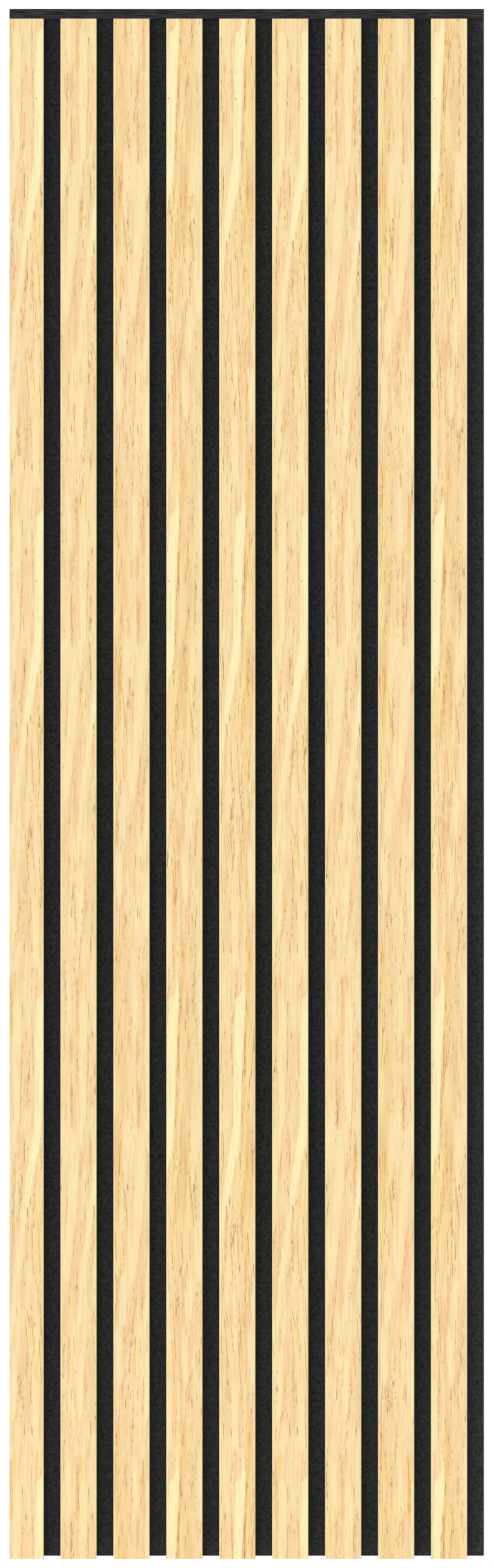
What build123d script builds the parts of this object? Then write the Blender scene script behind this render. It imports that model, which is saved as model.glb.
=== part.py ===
from build123d import *
import os

# Acoustic wall panel: upright wood slats on a sheet of dark felt, below a dark top rail.
# Millimetres. +Z is up, the front faces -Y, and +X is to the right as seen from the front.
# The origin is the middle of the felt's back, the face that lies against the wall.

# Slats
SLAT_COUNT = 9
SLAT_WIDTH = 28.0
SLAT_THICKNESS = 12.0
SLAT_LENGTH = 1192.5
SLAT_ARRIS = 0.8
SLAT_GAP = 13.0
LEFT_TRIM = 1.5
SLAT_OVERHANG = 2.5

# Felt
FELT_THICKNESS = 9.0

# Top rail
RAIL_HEIGHT = 7.5
RAIL_ARRIS = 0.5

# Staples, driven from behind through the felt
STAPLE_CROWN = 10.0
STAPLE_WIRE_WIDTH = 1.2
STAPLE_WIRE_THICKNESS = 0.8
STAPLE_POINT = 1.0
STAPLE_BITE = 7.0
STAPLE_SUNK = 0.3
STAPLES_PER_SLAT = 6
SLAT_STAPLE_INSET = 50.0
RAIL_STAPLE_COUNT = 4
RAIL_STAPLE_INSET = 45.0

# The felt starts at the trimmed slat's cut side and runs on by one gap past the last slat,
# so that the next panel carries on the same rhythm.
PITCH = SLAT_WIDTH + SLAT_GAP
PANEL_WIDTH = SLAT_COUNT * PITCH - LEFT_TRIM
FELT_HEIGHT = RAIL_HEIGHT + SLAT_LENGTH - SLAT_OVERHANG

LEFT_SIDE = -PANEL_WIDTH / 2
RIGHT_SIDE = PANEL_WIDTH / 2
FELT_TOP = FELT_HEIGHT / 2
RAIL_UNDERSIDE = FELT_TOP - RAIL_HEIGHT
SLAT_FOOT = RAIL_UNDERSIDE - SLAT_LENGTH
FELT_FRONT = -FELT_THICKNESS


def felt_sheet():
    """The flat sheet, with its back on the wall plane."""
    return Pos(0, FELT_FRONT / 2, 0) * Box(PANEL_WIDTH, FELT_THICKNESS, FELT_HEIGHT)


def slat_sides(number):
    """Left and right X of a slat, counted from 1 at the left. The first is trimmed to the felt's edge."""
    uncut_left = LEFT_SIDE - LEFT_TRIM + (number - 1) * PITCH
    left = max(uncut_left, LEFT_SIDE)
    return left, uncut_left + SLAT_WIDTH


def slat(number):
    """One slat: an extruded section with eased front edges. A trimmed side keeps its square cut."""
    left, right = slat_sides(number)
    section = Rectangle(right - left, SLAT_THICKNESS)
    front = section.vertices().group_by(Axis.Y)[0].sort_by(Axis.X)
    eased = front[1:] if number == 1 and LEFT_TRIM > 0 else front
    section = fillet(eased, SLAT_ARRIS)
    middle = Vector((left + right) / 2, FELT_FRONT - SLAT_THICKNESS / 2, SLAT_FOOT)
    return Pos(middle) * extrude(section, SLAT_LENGTH)


def top_rail():
    """The batten across the top, from side to side, flush with the slats, its upper front edge eased."""
    bar = Box(PANEL_WIDTH, SLAT_THICKNESS, RAIL_HEIGHT)
    bar = Pos(0, FELT_FRONT - SLAT_THICKNESS / 2, FELT_TOP - RAIL_HEIGHT / 2) * bar
    upper_front = bar.edges().filter_by(Axis.X).group_by(Axis.Z)[-1].sort_by(Axis.Y)[0]
    return fillet(upper_front, RAIL_ARRIS)


def staple(x, z, crown_back):
    """A staple with its crown along X and its slanted points forward. crown_back is the crown's back face in Y."""
    half_crown = STAPLE_CROWN / 2
    half_throat = half_crown - STAPLE_WIRE_THICKNESS
    point = FELT_FRONT - STAPLE_BITE
    shoulder = point + STAPLE_POINT
    crown_front = -STAPLE_SUNK - STAPLE_WIRE_THICKNESS
    outline = Polyline(
        (-half_crown, crown_back),
        (half_crown, crown_back),
        (half_crown, point),
        (half_throat, shoulder),
        (half_throat, crown_front),
        (-half_throat, crown_front),
        (-half_throat, shoulder),
        (-half_crown, point),
        close=True,
    )
    wire = extrude(make_face(outline), STAPLE_WIRE_WIDTH / 2, both=True)
    return Pos(x, 0, z) * wire


def staple_itself(x, z):
    """The wire, with its crown pulled a little way into the felt."""
    return staple(x, z, -STAPLE_SUNK)


def staple_seat(x, z):
    """The room that the wire takes up, open to the felt's back."""
    return staple(x, z, 0)


def evenly(first, last, count):
    """Places from first to last, both included."""
    step = (last - first) / (count - 1)
    return [first + step * place for place in range(count)]


def slat_staple_places(number):
    """X and Z of a slat's staples, up the middle of the slat."""
    left, right = slat_sides(number)
    heights = evenly(SLAT_FOOT + SLAT_STAPLE_INSET, RAIL_UNDERSIDE - SLAT_STAPLE_INSET, STAPLES_PER_SLAT)
    return [((left + right) / 2, height) for height in heights]


def rail_staple_places():
    """X and Z of the rail's staples, along its middle."""
    middle = FELT_TOP - RAIL_HEIGHT / 2
    across = evenly(LEFT_SIDE + RAIL_STAPLE_INSET, RIGHT_SIDE - RAIL_STAPLE_INSET, RAIL_STAPLE_COUNT)
    return [(x, middle) for x in across]


def seats(places):
    """The seats at the given places, to cut from the pieces that the staples hold."""
    return [staple_seat(x, z) for x, z in places]


def build():
    """All pieces by name."""
    pieces = {}
    all_places = rail_staple_places()
    pieces["top_rail"] = top_rail() - seats(all_places)
    for number in range(1, SLAT_COUNT + 1):
        places = slat_staple_places(number)
        pieces[f"slat_{number}"] = slat(number) - seats(places)
        all_places = all_places + places
    pieces["felt_backing"] = felt_sheet() - seats(all_places)
    pieces["staples"] = Compound([staple_itself(x, z).solid() for x, z in all_places])
    return pieces


os.makedirs("parts", exist_ok=True)
for name, piece in build().items():
    export_step(piece, f"parts/{name}.step")
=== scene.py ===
import logging
import math
from collections.abc import Callable, Iterator, Sequence
from contextlib import contextmanager
from dataclasses import dataclass, replace
from enum import Enum

import bmesh
import bpy
from mathutils import Euler, Matrix, Vector


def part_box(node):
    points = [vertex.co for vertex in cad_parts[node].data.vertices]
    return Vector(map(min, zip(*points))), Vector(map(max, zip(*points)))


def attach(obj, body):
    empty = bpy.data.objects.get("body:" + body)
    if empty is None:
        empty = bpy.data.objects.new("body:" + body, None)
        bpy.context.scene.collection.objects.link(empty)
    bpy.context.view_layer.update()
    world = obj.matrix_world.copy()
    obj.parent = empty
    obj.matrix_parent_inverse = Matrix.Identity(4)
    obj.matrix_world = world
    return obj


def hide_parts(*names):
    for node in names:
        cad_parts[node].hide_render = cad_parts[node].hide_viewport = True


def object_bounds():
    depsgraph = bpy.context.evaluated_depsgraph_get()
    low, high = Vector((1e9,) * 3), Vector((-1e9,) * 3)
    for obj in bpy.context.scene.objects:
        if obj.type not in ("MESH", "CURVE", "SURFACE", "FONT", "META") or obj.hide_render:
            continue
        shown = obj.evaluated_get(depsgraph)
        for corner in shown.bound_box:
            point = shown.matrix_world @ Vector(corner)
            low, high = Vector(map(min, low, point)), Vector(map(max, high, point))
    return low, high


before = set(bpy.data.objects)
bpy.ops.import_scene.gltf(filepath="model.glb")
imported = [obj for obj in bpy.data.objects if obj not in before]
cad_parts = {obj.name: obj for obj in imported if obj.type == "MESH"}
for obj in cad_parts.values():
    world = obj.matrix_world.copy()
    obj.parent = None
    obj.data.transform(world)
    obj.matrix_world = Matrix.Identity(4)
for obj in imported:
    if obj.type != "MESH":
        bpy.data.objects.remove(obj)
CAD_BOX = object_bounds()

LOG = logging.getLogger("acoustic_panel")

MM = 0.001
BODY = "root"
TRIO_GROUP = "three_streaks"

# The panel's places in metres, read from the solids
FELT_LOW, FELT_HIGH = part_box("felt_backing")
RAIL_LOW, RAIL_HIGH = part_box("top_rail")
SLAT_NODES = sorted(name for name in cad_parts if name.startswith("slat_"))
SLAT_BOXES = [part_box(name) for name in SLAT_NODES]
SLAT_FRONT = SLAT_BOXES[0][0].y
SLAT_FOOT = SLAT_BOXES[0][0].z

# How bright a plain white board that faces the camera shows in the studio, with white as 1
STUDIO_LIGHT = 1.47


@dataclass(frozen=True)
class Tint:
    """A colour as it shows in the studio's light, in display values from 0 to 255."""

    red: float
    green: float
    blue: float

    def paint(self, light: float = STUDIO_LIGHT) -> tuple[float, float, float, float]:
        """The surface colour that shows as this tint.

        Args:
            light: how bright a white board shows in the same place.

        Returns:
            Red, green, blue and alpha in linear values.
        """
        return (*(self.linear(part) / light for part in (self.red, self.green, self.blue)), 1.0)

    @staticmethod
    def linear(display: float) -> float:
        """The linear value of one display value."""
        share = display / 255
        return share / 12.92 if share <= 0.04045 else ((share + 0.055) / 1.055) ** 2.4


class Kind(Enum):
    """The kinds of socket that a node group has."""

    VALUE = "NodeSocketFloat"
    VECTOR = "NodeSocketVector"
    COLOUR = "NodeSocketColor"


Feed = bpy.types.NodeSocket | float | int | tuple
Pair = tuple[float, float]


class Wiring:
    """Adds nodes to a node tree and joins their sockets."""

    def __init__(self, tree: bpy.types.NodeTree) -> None:
        """Starts wiring a tree."""
        self.tree = tree

    def node(self, kind: str, **settings: object) -> bpy.types.Node:
        """Adds a node.

        Args:
            kind: the node's type name.
            settings: its own settings, by name.

        Returns:
            The new node.
        """
        made = self.tree.nodes.new(kind)
        for name, value in settings.items():
            setattr(made, name, value)
        return made

    def feed(self, socket: bpy.types.NodeSocket, source: Feed) -> None:
        """Joins a socket to another one, or sets its own value."""
        if isinstance(source, bpy.types.NodeSocket):
            self.tree.links.new(source, socket)
        else:
            socket.default_value = source

    def feed_all(self, sockets: Sequence[bpy.types.NodeSocket], sources: Sequence[Feed]) -> None:
        """Feeds several sockets in order."""
        for socket, source in zip(sockets, sources):
            self.feed(socket, source)

    def sum(self, operation: str, *parts: Feed, clamp: bool = False) -> bpy.types.NodeSocket:
        """Does one step of arithmetic.

        Args:
            operation: the name of the step, such as ADD.
            parts: the numbers or sockets that go in, in order.
            clamp: whether the result stays between 0 and 1.

        Returns:
            The result's socket.
        """
        made = self.node("ShaderNodeMath", operation=operation, use_clamp=clamp)
        self.feed_all(made.inputs, parts)
        return made.outputs[0]

    def sums(self, operation: str, *parts: Feed) -> bpy.types.NodeSocket:
        """Does one step of arithmetic on three numbers at once.

        Args:
            operation: the name of the step, such as ADD.
            parts: the vectors or sockets that go in, in order.

        Returns:
            The resulting vector's socket.
        """
        made = self.node("ShaderNodeVectorMath", operation=operation)
        self.feed_all(made.inputs, parts)
        return made.outputs[0]

    def distance(self, first: Feed, second: Feed) -> bpy.types.NodeSocket:
        """How far two points lie apart."""
        made = self.node("ShaderNodeVectorMath", operation="DISTANCE")
        self.feed_all(made.inputs, (first, second))
        return made.outputs["Value"]

    def scaled(self, vector: Feed, scale: Feed) -> bpy.types.NodeSocket:
        """A vector times a number."""
        made = self.node("ShaderNodeVectorMath", operation="SCALE")
        self.feed(made.inputs[0], vector)
        self.feed(made.inputs["Scale"], scale)
        return made.outputs[0]

    def rise(
        self, value: Feed, low: Feed, high: Feed, bottom: Feed = 0.0, top: Feed = 1.0
    ) -> bpy.types.NodeSocket:
        """Goes smoothly from one level to another.

        Args:
            value: what is measured.
            low: where the rise starts.
            high: where it ends.
            bottom: the level before the rise.
            top: the level after it.

        Returns:
            The level's socket.
        """
        made = self.node("ShaderNodeMapRange", interpolation_type="SMOOTHSTEP")
        self.feed_all(made.inputs[:5], (value, low, high, bottom, top))
        return made.outputs["Result"]

    def curve(self, value: Feed, points: Sequence[tuple[float, float]]) -> bpy.types.NodeSocket:
        """Follows straight runs from point to point.

        Args:
            value: the place along the runs, from 0 to 1.
            points: at least three places with their heights, all from 0 to 1.

        Returns:
            The height's socket.
        """
        made = self.node("ShaderNodeFloatCurve")
        line = made.mapping.curves[0].points
        line[0].location, line[1].location = points[0], points[-1]
        for place, height in points[1:-1]:
            line.new(place, height)
        for point in line:
            point.handle_type = "VECTOR"
        made.mapping.update()
        self.feed(made.inputs["Value"], value)
        return made.outputs[0]

    def noise(
        self, vector: Feed, detail: float, dimensions: str = "2D", output: str = "Fac"
    ) -> bpy.types.NodeSocket:
        """Cloudy values about 0.5.

        Args:
            vector: the place, with clouds about one unit wide.
            detail: how many finer layers there are.
            dimensions: 2D or 3D.
            output: Fac for one value, or Color for three that don't go together.

        Returns:
            The socket of the value or of the three.
        """
        made = self.node("ShaderNodeTexNoise", noise_dimensions=dimensions)
        self.feed(made.inputs["Vector"], vector)
        made.inputs["Scale"].default_value = 1.0
        made.inputs["Detail"].default_value = detail
        return made.outputs[output]

    def mix(self, share: Feed, first: Feed, second: Feed, blend: str = "MIX") -> bpy.types.NodeSocket:
        """Mixes two colours.

        Args:
            share: how much of the second shows.
            first: the colour beneath.
            second: the colour on top.
            blend: how they are combined.

        Returns:
            The mixed colour's socket.
        """
        made = self.node("ShaderNodeMix", data_type="RGBA", blend_type=blend, clamp_result=False)
        self.feed_all((made.inputs["Factor"], made.inputs[6], made.inputs[7]), (share, first, second))
        return made.outputs[2]

    def grey(self, value: Feed) -> bpy.types.NodeSocket:
        """A grey of that value as a colour."""
        made = self.node("ShaderNodeCombineColor")
        self.feed_all(made.inputs, (value, value, value))
        return made.outputs[0]

    def vector(self, x: Feed, y: Feed, z: Feed = 0.0) -> bpy.types.NodeSocket:
        """Three values as one vector."""
        made = self.node("ShaderNodeCombineXYZ")
        self.feed_all(made.inputs, (x, y, z))
        return made.outputs[0]

    def parts(self, vector: Feed) -> tuple[bpy.types.NodeSocket, ...]:
        """A vector's X, Y and Z."""
        made = self.node("ShaderNodeSeparateXYZ")
        self.feed(made.inputs[0], vector)
        return tuple(made.outputs)

    def place(self, group: bpy.types.NodeTree, **inputs: Feed) -> bpy.types.bpy_prop_collection:
        """Places a node group.

        Args:
            group: the group.
            inputs: what goes into its sockets, with _ for each space in a name.

        Returns:
            The group's outputs.
        """
        made = self.node("ShaderNodeGroup", node_tree=group)
        for name, source in inputs.items():
            self.feed(made.inputs[name.replace("_", " ")], source)
        return made.outputs


class Group(Wiring):
    """A node group that is being built, with named sockets."""

    def __init__(self, name: str, inputs: dict[str, Kind], outputs: dict[str, Kind]) -> None:
        """Makes the empty group.

        Args:
            name: the group's name.
            inputs: the kinds of its input sockets, by name.
            outputs: the kinds of its output sockets, by name.
        """
        super().__init__(bpy.data.node_groups.new(name, "ShaderNodeTree"))
        for label, kind in inputs.items():
            self.tree.interface.new_socket(label, in_out="INPUT", socket_type=kind.value)
        for label, kind in outputs.items():
            self.tree.interface.new_socket(label, in_out="OUTPUT", socket_type=kind.value)
        self.given = self.node("NodeGroupInput").outputs
        self.result = self.node("NodeGroupOutput").inputs


class Finish(Wiring):
    """A material that is being built."""

    def __init__(self, name: str) -> None:
        """Makes a material with one Principled shader."""
        self.material = bpy.data.materials.new(name)
        self.material.use_nodes = True
        super().__init__(self.material.node_tree)
        self.shader = self.tree.nodes["Principled BSDF"].inputs
        self.position = self.node("ShaderNodeTexCoord").outputs["Object"]

    def bump(self, height: Feed, depth: float, strength: float) -> None:
        """Roughens the surface by a height map.

        Args:
            height: the map, from 0 to 1.
            depth: how deep it is, in metres.
            strength: how much of it shows.
        """
        made = self.node("ShaderNodeBump")
        made.inputs["Strength"].default_value = strength
        made.inputs["Distance"].default_value = depth
        self.feed(made.inputs["Height"], height)
        self.feed(self.shader["Normal"], made.outputs[0])


@dataclass(frozen=True)
class Streak:
    """One streak of the figure, in millimetres on the leaf.

    It starts at a place across and down the leaf and drifts sideways by lean over its length.
    """

    across: float
    down: float
    length: float
    half_width: float = 0.25
    lean: float = 0.0
    soft: float = 0.25
    end_soft: float = 3.0
    strength: float = 0.6

    @property
    def middle(self) -> float:
        """How far down the leaf the streak's middle is."""
        return self.down + self.length / 2

    def sockets(self) -> dict[str, float]:
        """What the streak feeds into the group that paints it.

        Returns:
            The values by the names of the sockets.
        """
        rate = self.lean / self.length
        return {
            "Slope": -rate,
            "Shift": rate * self.down - self.across,
            "Side Slope": -0.5 / self.soft,
            "Side Height": 0.5 * (self.half_width + self.soft) / self.soft,
            "Middle": self.middle,
            "End Slope": -1 / self.end_soft,
            "End Height": 0.5 * self.length / self.end_soft,
            "Strength": self.strength,
        }

    def reaches(self, width: float, length: float) -> bool:
        """Whether any of the streak lies on a leaf of that size."""
        reach = self.half_width + self.soft
        left = min(self.across, self.across + self.lean) - reach
        right = max(self.across, self.across + self.lean) + reach
        return right > 0 and left < width and self.down < length and self.down + self.length > 0


NO_STREAK = Streak(0.0, 0.0, 1.0, strength=0.0)


@dataclass(frozen=True)
class VeneerLeaf:
    """The leaf of wood that every slat is cut from, in millimetres. It repeats both ways over the panel."""

    width: float = 51.4
    length: float = 373.7
    first_left: float = 7.2
    first_top: float = 6.9

    def place_group(self) -> bpy.types.NodeTree:
        """A group that tells a point's place on the leaf and on the panel, in millimetres.

        Returns:
            The group, with the places across and down the leaf as Across and Along, and those on the
            panel as Whole Across and Whole Along.
        """
        places = ("Across", "Along", "Whole Across", "Whole Along")
        group = Group("place_on_leaf", {"Position": Kind.VECTOR}, {name: Kind.VALUE for name in places})
        x, y, z = group.parts(group.given["Position"])
        left = FELT_LOW.x - self.first_left * MM
        top = RAIL_HIGH.z + self.first_top * MM
        folded = group.sum("ADD", x, group.sum("SUBTRACT", y, SLAT_FRONT))
        across = group.sum("DIVIDE", group.sum("SUBTRACT", folded, left), MM)
        along = group.sum("DIVIDE", group.sum("SUBTRACT", top, z), MM)
        group.feed(group.result["Across"], group.sum("WRAP", across, self.width, 0.0))
        group.feed(group.result["Along"], group.sum("WRAP", along, self.length, 0.0))
        group.feed(group.result["Whole Across"], across)
        group.feed(group.result["Whole Along"], along)
        return group.tree

    def cloud_group(self) -> bpy.types.NodeTree:
        """A group of soft streaks that join up where the leaf repeats.

        Returns:
            The group, with a value about 0.5 as Value.
        """
        names = ("Across", "Along", "Streak Width", "Streak Length", "Detail", "Seed")
        group = Group("leaf_clouds", {name: Kind.VALUE for name in names}, {"Value": Kind.VALUE})
        turns = []
        for place, size, repeat in (
            ("Across", "Streak Width", self.width),
            ("Along", "Streak Length", self.length),
        ):
            angle = group.sum("MULTIPLY", group.given[place], math.tau / repeat)
            radius = group.sum("DIVIDE", repeat / math.tau, group.given[size])
            turns.append(group.sum("MULTIPLY", group.sum("COSINE", angle), radius))
            turns.append(group.sum("MULTIPLY", group.sum("SINE", angle), radius))
        noise = group.node("ShaderNodeTexNoise", noise_dimensions="4D")
        shifted = group.sum("ADD", turns[0], group.given["Seed"])
        group.feed(noise.inputs["Vector"], group.vector(shifted, turns[1], turns[2]))
        group.feed(noise.inputs["W"], turns[3])
        group.feed(noise.inputs["Scale"], 1.0)
        group.feed(noise.inputs["Detail"], group.given["Detail"])
        group.feed(noise.inputs["Roughness"], 0.55)
        group.feed(group.result["Value"], noise.outputs["Fac"])
        return group.tree

    def trio_group(self) -> bpy.types.NodeTree:
        """A group that paints three leaning streaks at once, one in each part of its vectors.

        Returns:
            The group, with how far the point lies in each streak as Masks.
        """
        names = ("Across", "Along", *NO_STREAK.sockets())
        group = Group(TRIO_GROUP, {name: Kind.VECTOR for name in names}, {"Masks": Kind.VECTOR})
        given = group.given
        line = group.sums("MULTIPLY_ADD", given["Along"], given["Slope"], given["Shift"])
        aside = group.sums("ABSOLUTE", group.sums("ADD", given["Across"], line))
        sides = group.sums("MULTIPLY_ADD", aside, given["Side Slope"], given["Side Height"])
        away = group.sums("ABSOLUTE", group.sums("SUBTRACT", given["Along"], given["Middle"]))
        ends = group.sums("MULTIPLY_ADD", away, given["End Slope"], given["End Height"])
        inside = group.sums("MINIMUM", sides, ends)
        group.feed(group.result["Masks"], group.sums("MINIMUM", inside, given["Strength"]))
        return group.tree

    def repeats(self, streak: Streak) -> list[Streak]:
        """A streak as it lies on the leaf and as it comes in from the leaves around it.

        Args:
            streak: the streak.

        Returns:
            The streak at each of those places.
        """
        placed = [
            replace(streak, across=across, down=down)
            for down in (streak.down, streak.down - self.length)
            for across in (streak.across - self.width, streak.across, streak.across + self.width)
        ]
        return [each for each in placed if each.reaches(self.width, self.length)]


@dataclass(frozen=True)
class LeafFigure:
    """The figure on the leaf: its bands, its bright streak and its dark vessel lines, in millimetres."""

    def cream_bands(self) -> tuple[Streak, ...]:
        """The broad pale bands that lean across the leaf."""
        return (
            Streak(13.2, 18, 112, 3.0, lean=-1.4, soft=0.7, end_soft=12, strength=0.75),
            Streak(18.5, 354, 70, 5.0, soft=1.5, end_soft=16, strength=0.45),
            Streak(22.0, 25, 40, 1.6, soft=0.8, end_soft=10, strength=0.5),
            Streak(2.2, 5, 55, 1.8, soft=1.0, end_soft=14, strength=0.5),
            Streak(10.5, 100, 150, 3.0, lean=-11.5, soft=1.1, end_soft=14, strength=0.7),
            Streak(18.5, 185, 110, 1.9, lean=-11.5, soft=0.8, end_soft=12, strength=0.75),
            Streak(47.5, 118, 34, 2.0, soft=1.0, end_soft=10, strength=0.5),
            Streak(49.2, 194, 62, 2.0, lean=-2.5, soft=1.0, end_soft=16, strength=0.55),
            Streak(43.8, 236, 46, 2.2, lean=-0.5, soft=0.9, end_soft=14, strength=0.7),
            Streak(15.6, 254, 42, 1.6, lean=-2.2, soft=0.8, end_soft=12, strength=0.5),
            Streak(11.6, 292, 62, 1.4, lean=-2.0, soft=0.6, end_soft=8, strength=0.9),
            Streak(29.2, 280, 40, 1.0, lean=0.6, soft=0.5, end_soft=10, strength=0.85),
            Streak(40.0, 282, 44, 2.0, lean=0.4, soft=0.9, end_soft=12, strength=0.55),
            Streak(27.6, 316, 62, 2.4, soft=1.0, end_soft=14, strength=0.7),
            Streak(4.9, 252, 62, 1.2, lean=0.4, soft=0.7, end_soft=14, strength=0.45),
        )

    def brown_bands(self) -> tuple[Streak, ...]:
        """The brown lines beside the bright streak and at the leaf's left."""
        return (
            Streak(38.0, 4, 44, 0.8, lean=-1.6, soft=0.7, end_soft=10, strength=0.55),
            Streak(36.0, 46, 46, 0.9, lean=-1.0, soft=0.5, end_soft=8, strength=0.85),
            Streak(35.0, 88, 60, 0.8, lean=-2.4, soft=0.7, end_soft=12, strength=0.5),
            Streak(8.1, 4, 52, 1.0, lean=0.2, soft=0.8, end_soft=16, strength=0.3),
            Streak(3.5, 48, 30, 0.7, lean=0.2, soft=0.5, end_soft=8, strength=0.55),
            Streak(3.4, 88, 40, 0.8, lean=0.8, soft=0.6, end_soft=8, strength=0.55),
            Streak(39.5, 122, 70, 2.6, lean=-2.0, soft=1.5, end_soft=18, strength=0.35),
            Streak(41.2, 138, 26, 0.8, lean=-0.4, soft=0.5, end_soft=8, strength=0.7),
            Streak(17.6, 126, 36, 0.9, lean=0.6, soft=0.6, end_soft=8, strength=0.5),
            Streak(38.6, 236, 46, 0.9, lean=0.4, soft=0.7, end_soft=10, strength=0.5),
            Streak(44.4, 170, 22, 0.7, lean=0.9, soft=0.5, end_soft=6, strength=0.6),
            Streak(32.6, 174, 28, 0.5, lean=0.6, soft=0.5, end_soft=6, strength=0.5),
        )

    def orange_bands(self) -> tuple[Streak, ...]:
        """The warm patches, most of them right of the bright streak."""
        return (
            Streak(39.5, 352, 180, 4.4, lean=-1, soft=2.2, end_soft=30, strength=0.35),
            Streak(39.2, 355, 46, 1.8, soft=0.7, end_soft=5, strength=0.65),
            Streak(11.4, 4, 14, 1.3, soft=0.4, end_soft=1.5, strength=0.95),
            Streak(11.2, 18.5, 10.5, 1.2, soft=0.4, end_soft=1.5, strength=0.95),
            Streak(37.8, 38, 22, 3.0, soft=1.2, end_soft=5, strength=0.6),
            Streak(45.9, 36, 22, 1.1, soft=0.6, end_soft=6, strength=0.65),
            Streak(46.4, 73, 21, 1.3, soft=0.6, end_soft=5, strength=0.7),
            Streak(35.2, 95, 24, 1.3, soft=0.6, end_soft=5, strength=0.65),
            Streak(43.0, 99, 22, 0.8, soft=0.5, end_soft=5, strength=0.65),
            Streak(7.4, 45, 11, 1.2, soft=0.5, end_soft=3, strength=0.6),
            Streak(21.7, 151, 13, 1.0, lean=-0.4, soft=0.5, end_soft=3, strength=0.95),
            Streak(31.3, 138, 30, 0.6, lean=0.5, soft=0.4, end_soft=6, strength=0.85),
            Streak(34.5, 160, 29, 0.7, lean=0.3, soft=0.4, end_soft=6, strength=0.85),
            Streak(32.4, 178, 28, 0.7, lean=0.3, soft=0.4, end_soft=6, strength=0.8),
            Streak(43.0, 147, 29, 0.6, lean=1.4, soft=0.4, end_soft=6, strength=0.75),
            Streak(26.4, 176, 15, 0.9, lean=0.2, soft=0.5, end_soft=4, strength=0.75),
            Streak(14.6, 166, 13, 0.7, lean=0.1, soft=0.4, end_soft=3, strength=0.8),
            Streak(38.8, 186, 20, 1.2, lean=-1.6, soft=0.9, end_soft=8, strength=0.45),
            Streak(24.3, 202, 38, 0.9, lean=1.0, soft=0.5, end_soft=8, strength=0.7),
            Streak(29.9, 204, 36, 0.9, lean=1.0, soft=0.5, end_soft=8, strength=0.65),
            Streak(37.8, 205, 32, 0.8, lean=1.2, soft=0.5, end_soft=6, strength=0.75),
            Streak(43.5, 204, 26, 0.7, lean=0.7, soft=0.4, end_soft=5, strength=0.75),
            Streak(40.8, 222, 20, 0.9, lean=0.4, soft=0.6, end_soft=5, strength=0.65),
            Streak(22.3, 274, 25, 1.2, lean=0.9, soft=0.6, end_soft=6, strength=0.8),
            Streak(26.4, 283, 38, 0.8, lean=1.0, soft=0.7, end_soft=10, strength=0.65),
            Streak(34.6, 295, 32, 0.8, lean=0.6, soft=0.7, end_soft=10, strength=0.55),
            Streak(10.4, 279, 25, 0.7, lean=0.1, soft=0.5, end_soft=6, strength=0.7),
            Streak(2.5, 269, 36, 0.9, lean=-0.4, soft=0.8, end_soft=10, strength=0.5),
            Streak(3.7, 304, 31, 0.7, lean=0.2, soft=0.6, end_soft=10, strength=0.5),
            Streak(8.8, 335, 20, 0.9, soft=0.5, end_soft=5, strength=0.7),
            Streak(24.0, 320, 30, 0.6, lean=0.5, soft=0.5, end_soft=8, strength=0.65),
            Streak(49.4, 337, 28, 1.0, lean=-0.4, soft=0.7, end_soft=9, strength=0.55),
            Streak(33.6, 268, 12, 1.0, lean=0.4, soft=0.5, end_soft=4, strength=0.7),
        )

    def warm_areas(self) -> tuple[Streak, ...]:
        """The broad areas where fine ochre streaks lie close together."""
        return (
            Streak(39.5, 0, 130, 3.6, lean=-1.0, soft=1.5, end_soft=10, strength=0.9),
            Streak(47.5, 30, 90, 2.2, soft=1.2, end_soft=10, strength=0.6),
            Streak(34.5, 128, 110, 10.5, soft=3.0, end_soft=14, strength=1.0),
            Streak(28.0, 258, 84, 6.5, soft=2.5, end_soft=12, strength=0.8),
            Streak(3.5, 252, 66, 2.4, soft=1.5, end_soft=10, strength=0.8),
            Streak(8.5, 4, 60, 4.0, soft=1.5, end_soft=8, strength=0.6),
            Streak(2.6, 42, 60, 1.4, soft=0.8, end_soft=8, strength=0.7),
        )

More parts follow.
